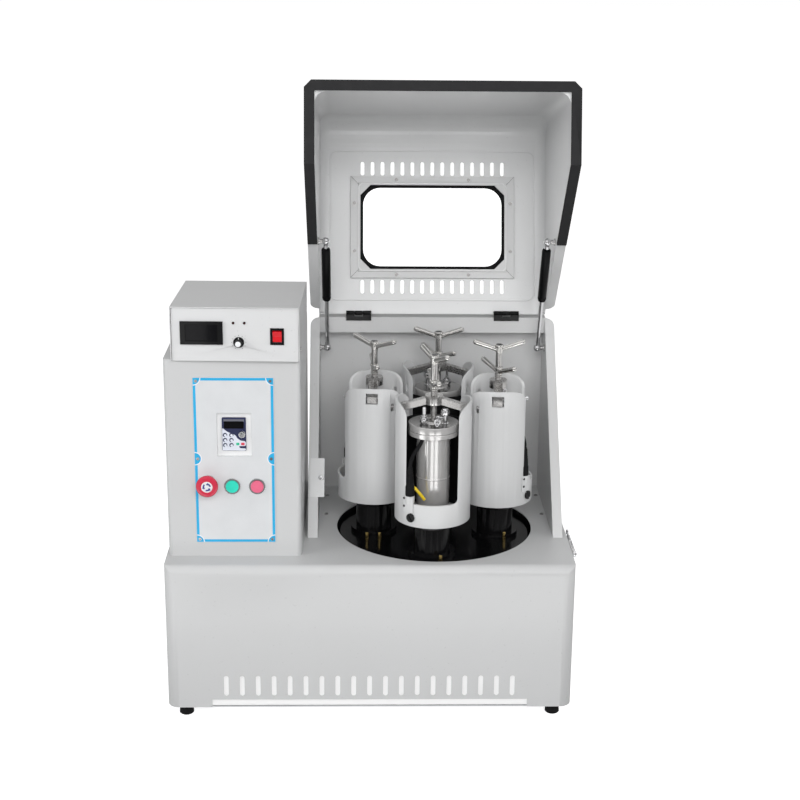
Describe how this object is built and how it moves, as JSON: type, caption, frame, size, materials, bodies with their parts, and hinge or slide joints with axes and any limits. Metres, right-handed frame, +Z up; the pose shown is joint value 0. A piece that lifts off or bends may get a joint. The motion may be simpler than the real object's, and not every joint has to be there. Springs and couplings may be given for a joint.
{
  "type": "planetary ball mill",
  "caption": "Bench planetary ball mill with a hinged hood, jars clamped in spinning holders on a turntable, a control tower with keypad and push-buttons, and a supply box on top.",
  "frame": {"origin": "on the bench, at the middle of the footprint of the whole machine with its hood open", "axes": "+Z up, +X to the right as seen by the user, -Y towards the user; lengths are the real machine's"},
  "size_m": [0.759, 0.5298, 1.1599],
  "materials": {
    "cabinet_paint": "fine textured off-white powder coat",
    "hood_paint": "off-white powder coat, slightly glossy",
    "chamber_paint": "pale grey powder coat",
    "grey_paint": "grey powder coat",
    "black_paint": "black satin enamel",
    "box_front_paint": "smooth white enamel",
    "box_cover_paint": "hammered grey enamel",
    "motor_paint": "blue-grey machine enamel",
    "panel_film": "printed satin film",
    "keypad_plastic": "fine grained",
    "knob_plastic": "fine grained",
    "black_plastic": "moulded",
    "black_gloss": "moulded, polished",
    "red_gloss": "moulded, polished",
    "red_cap_gloss": "translucent lens",
    "green_gloss": "translucent lens",
    "rocker_red": "translucent lens",
    "zinc_plate": "zinc plated sheet",
    "bright_steel": "bright",
    "gear_steel": "machined",
    "jar_steel": "turned stainless",
    "clamp_steel": "ground stainless",
    "lever_steel": "cast stainless, bead blasted and worn bright",
    "polished_chrome": "polished",
    "pulley_alloy": "turned",
    "belt_rubber": "woven back",
    "black_rubber": "moulded",
    "seal_foam": "closed cell foam",
    "strut_black": "black enamel",
    "holder_enamel": "white enamel, chipped at the edges",
    "clear_acrylic": "clear sheet with a slight tint"
  },
  "bodies": {
    "root": {"base_shell": "cabinet_paint", "base_floor": "zinc_plate", "rear_panel": "grey_paint", "power_inlet": "black_plastic", "rubber_feet": "black_rubber", "turntable_well": "black_paint", "chamber_shell": "chamber_paint", "control_tower": "cabinet_paint", "control_panel": "panel_film", "inverter_keypad": "keypad_plastic", "button_collars": "polished_chrome", "power_box_chassis": "box_front_paint", "power_box_cover": "box_cover_paint", "voltage_meter": "black_gloss", "hinge_fixed_leaves": "black_paint", "body_screws": "bright_steel", "drive_motor": "motor_paint", "sun_gear": "gear_steel", "drive_belt": "belt_rubber", "lid_catches": "bright_steel"},
    "lid": {"lid_shell": "hood_paint", "lid_window": "clear_acrylic", "window_frame": "chamber_paint", "lid_seal": "seal_foam", "hinge_lid_leaves": "black_paint", "lid_screws": "bright_steel"},
    "strut_rod_l": {"strut_rod_left": "polished_chrome"},
    "strut_rod_r": {"strut_rod_right": "polished_chrome"},
    "strut_tube_l": {"strut_tube_left": "strut_black"},
    "strut_tube_r": {"strut_tube_right": "strut_black"},
    "turntable_assembly": {"turntable": "black_paint", "main_shaft": "gear_steel"},
    "motor_rotor": {"motor_pulley": "pulley_alloy"},
    "planet_1": {"jar_holder_1": "holder_enamel", "jar_1": "jar_steel", "clamp_beam_1": "clamp_steel"},
    "clamp_screw_1": {"wing_screw_1": "lever_steel"},
    "lock_nut_1": {"lock_lever_1": "lever_steel"},
    "planet_2": {"jar_holder_2": "holder_enamel", "jar_2": "jar_steel", "clamp_beam_2": "clamp_steel"},
    "clamp_screw_2": {"wing_screw_2": "lever_steel"},
    "lock_nut_2": {"lock_lever_2": "lever_steel"},
    "planet_3": {"jar_holder_3": "holder_enamel", "jar_3": "jar_steel", "clamp_beam_3": "clamp_steel"},
    "clamp_screw_3": {"wing_screw_3": "lever_steel"},
    "lock_nut_3": {"lock_lever_3": "lever_steel"},
    "planet_4": {"jar_holder_4": "holder_enamel", "jar_4": "jar_steel", "clamp_beam_4": "clamp_steel"},
    "clamp_screw_4": {"wing_screw_4": "lever_steel"},
    "lock_nut_4": {"lock_lever_4": "lever_steel"},
    "estop_head_body": {"estop_head": "red_gloss"},
    "start_button_body": {"start_button": "green_gloss"},
    "stop_button_body": {"stop_button": "red_cap_gloss"},
    "keypad_knob_body": {"keypad_knob": "knob_plastic"},
    "adjust_knob_body": {"adjust_knob": "black_plastic"},
    "power_rocker_body": {"power_rocker": "rocker_red"},
    "draw_latch": {"draw_latch_lever": "polished_chrome"}
  },
  "joints": [
    {"name": "lid_hinge", "type": "hinge", "parent": "root", "child": "lid", "pos_m": [0.1195, 0.14611, 0.679], "axis": [1, 0, 0], "range_deg": [0, 102.87]},
    {"name": "strut_l_pivot", "type": "hinge", "parent": "root", "child": "strut_rod_l", "pos_m": [-0.0895, 0.12511, 0.6133], "axis": [1, 0, 0], "range_deg": [0, 105.57]},
    {"name": "strut_l_slide", "type": "slide", "parent": "strut_rod_l", "child": "strut_tube_l", "axis": [0, -0.4153, 0.9097], "range_m": [-0.1076, 0]},
    {"name": "strut_r_pivot", "type": "hinge", "parent": "root", "child": "strut_rod_r", "pos_m": [0.3285, 0.12511, 0.6133], "axis": [1, 0, 0], "range_deg": [0, 105.57]},
    {"name": "strut_r_slide", "type": "slide", "parent": "strut_rod_r", "child": "strut_tube_r", "axis": [0, -0.4153, 0.9097], "range_m": [-0.1076, 0]},
    {"name": "turntable_spin", "type": "hinge", "parent": "root", "child": "turntable_assembly", "pos_m": [0.1195, -0.04689, 0.284], "axis": [0, 0, 1], "continuous": true},
    {"name": "motor_spin", "type": "hinge", "parent": "root", "child": "motor_rotor", "pos_m": [-0.1945, -0.04689, 0.1], "axis": [0, 0, 1], "continuous": true},
    {"name": "planet_1_spin", "type": "hinge", "parent": "turntable_assembly", "child": "planet_1", "pos_m": [0.11032, -0.16353, 0.352], "axis": [0, 0, 1], "continuous": true},
    {"name": "clamp_screw_1_turn", "type": "hinge", "parent": "planet_1", "child": "clamp_screw_1", "pos_m": [0.11032, -0.16353, 0.6], "axis": [0, 0, 1], "range_deg": [0, 720]},
    {"name": "lock_nut_1_turn", "type": "hinge", "parent": "clamp_screw_1", "child": "lock_nut_1", "pos_m": [0.11032, -0.16353, 0.616], "axis": [0, 0, 1], "range_deg": [0, 360]},
    {"name": "planet_2_spin", "type": "hinge", "parent": "turntable_assembly", "child": "planet_2", "pos_m": [0.23614, -0.05607, 0.352], "axis": [0, 0, 1], "continuous": true},
    {"name": "clamp_screw_2_turn", "type": "hinge", "parent": "planet_2", "child": "clamp_screw_2", "pos_m": [0.23614, -0.05607, 0.6], "axis": [0, 0, 1], "range_deg": [0, 720]},
    {"name": "lock_nut_2_turn", "type": "hinge", "parent": "clamp_screw_2", "child": "lock_nut_2", "pos_m": [0.23614, -0.05607, 0.616], "axis": [0, 0, 1], "range_deg": [0, 360]},
    {"name": "planet_3_spin", "type": "hinge", "parent": "turntable_assembly", "child": "planet_3", "pos_m": [0.12868, 0.06975, 0.352], "axis": [0, 0, 1], "continuous": true},
    {"name": "clamp_screw_3_turn", "type": "hinge", "parent": "planet_3", "child": "clamp_screw_3", "pos_m": [0.12868, 0.06975, 0.6], "axis": [0, 0, 1], "range_deg": [0, 720]},
    {"name": "lock_nut_3_turn", "type": "hinge", "parent": "clamp_screw_3", "child": "lock_nut_3", "pos_m": [0.12868, 0.06975, 0.616], "axis": [0, 0, 1], "range_deg": [0, 360]},
    {"name": "planet_4_spin", "type": "hinge", "parent": "turntable_assembly", "child": "planet_4", "pos_m": [0.00286, -0.03771, 0.352], "axis": [0, 0, 1], "continuous": true},
    {"name": "clamp_screw_4_turn", "type": "hinge", "parent": "planet_4", "child": "clamp_screw_4", "pos_m": [0.00286, -0.03771, 0.6], "axis": [0, 0, 1], "range_deg": [0, 720]},
    {"name": "lock_nut_4_turn", "type": "hinge", "parent": "clamp_screw_4", "child": "lock_nut_4", "pos_m": [0.00286, -0.03771, 0.616], "axis": [0, 0, 1], "range_deg": [0, 360]},
    {"name": "estop_push", "type": "slide", "parent": "root", "child": "estop_head_body", "axis": [0, 1, 0], "range_m": [0, 0.006], "stiffness_N_per_m": 900},
    {"name": "start_push", "type": "slide", "parent": "root", "child": "start_button_body", "axis": [0, 1, 0], "range_m": [0, 0.003], "stiffness_N_per_m": 600},
    {"name": "stop_push", "type": "slide", "parent": "root", "child": "stop_button_body", "axis": [0, 1, 0], "range_m": [0, 0.003], "stiffness_N_per_m": 600},
    {"name": "keypad_knob_turn", "type": "hinge", "parent": "root", "child": "keypad_knob_body", "pos_m": [-0.2363, -0.20789, 0.5383], "axis": [0, -1, 0], "range_deg": [-150, 150]},
    {"name": "adjust_knob_turn", "type": "hinge", "parent": "root", "child": "adjust_knob_body", "pos_m": [-0.23801, -0.22506, 0.7114], "axis": [-0.0262, -0.9997, 0], "range_deg": [-150, 150]},
    {"name": "rocker_tilt", "type": "hinge", "parent": "root", "child": "power_rocker_body", "pos_m": [-0.16995, -0.21584, 0.7227], "axis": [0.9997, -0.0262, 0], "range_deg": [-16, 0]},
    {"name": "latch_swing", "type": "hinge", "parent": "root", "child": "draw_latch", "pos_m": [0.3705, -0.18789, 0.299], "axis": [1, 0, 0], "range_deg": [-90, 0]}
  ],
  "couplings": [
    {"joint": "strut_l_pivot", "follows": "lid_hinge", "ratio": 1.0258},
    {"joint": "strut_l_slide", "follows": "lid_hinge", "m_per_rad": -0.059862},
    {"joint": "strut_r_pivot", "follows": "lid_hinge", "ratio": 1.0258},
    {"joint": "strut_r_slide", "follows": "lid_hinge", "m_per_rad": -0.059862},
    {"joint": "motor_spin", "follows": "turntable_spin", "ratio": 2.3438},
    {"joint": "planet_1_spin", "follows": "turntable_spin", "ratio": 1},
    {"joint": "planet_2_spin", "follows": "turntable_spin", "ratio": 1},
    {"joint": "planet_3_spin", "follows": "turntable_spin", "ratio": 1},
    {"joint": "planet_4_spin", "follows": "turntable_spin", "ratio": 1}
  ]
}
